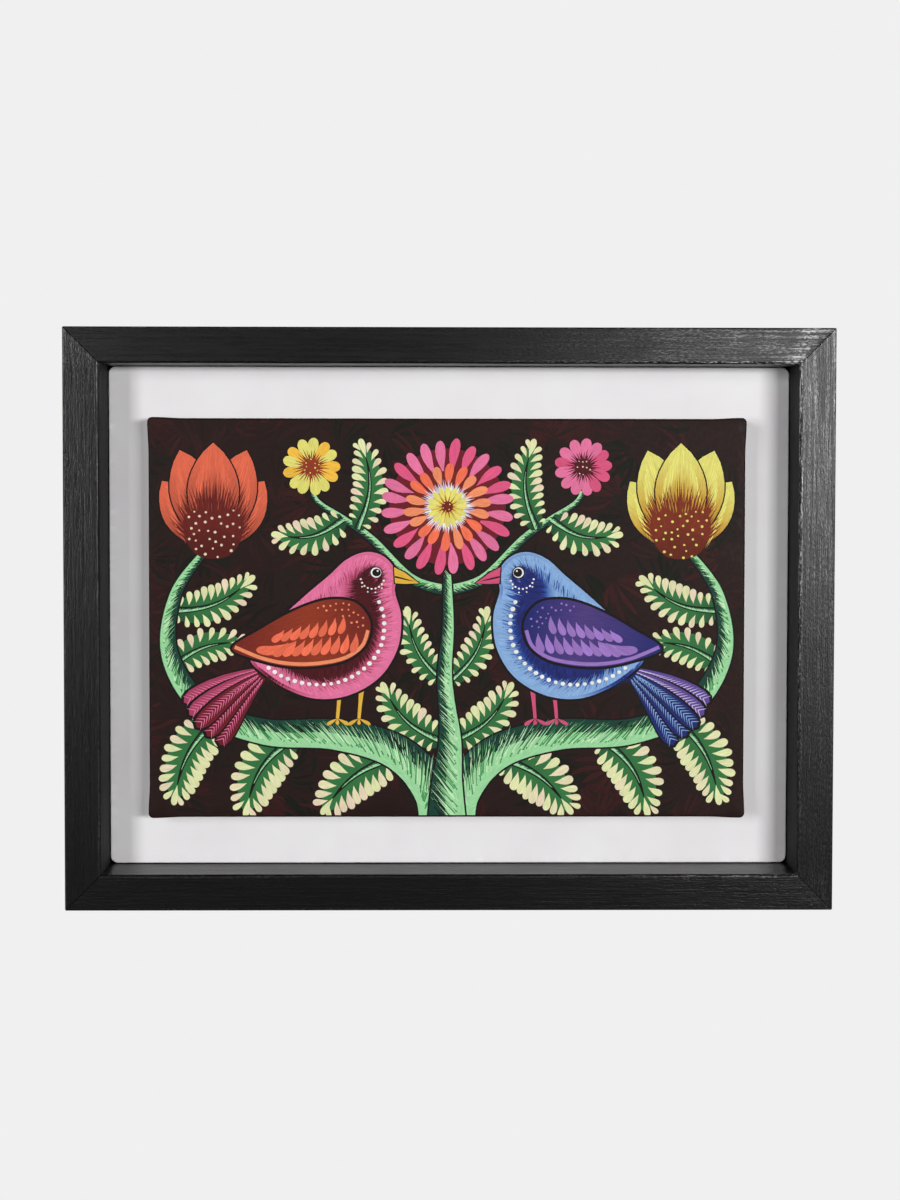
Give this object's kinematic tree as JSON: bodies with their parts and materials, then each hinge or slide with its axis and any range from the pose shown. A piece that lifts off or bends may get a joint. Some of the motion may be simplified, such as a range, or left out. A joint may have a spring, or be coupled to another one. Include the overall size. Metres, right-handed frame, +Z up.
{
  "type": "painted wooden wall hanging",
  "caption": "Flower and bird painting on a dark wooden panel, mounted on a white board set back in a deep black floater frame, to hang on a wall.",
  "frame": {"origin": "middle of the top rail's back face, on the wall plane", "axes": "+X to the viewer's right along the hanging's width, +Y from the front into the wall, +Z up"},
  "size_m": [0.3826, 0.038, 0.2901],
  "materials": {
    "frame": "brushed black stain, satin, worn lighter along the edges",
    "board": "white paint, matt, brushed",
    "panel": "dark brown paint with a many-coloured painting, satin"
  },
  "bodies": {
    "root": {"rail_top": "frame", "rail_bottom": "frame", "rail_left": "frame", "rail_right": "frame", "backing_board": "board", "painted_panel": "panel"}
  },
  "joints": []
}
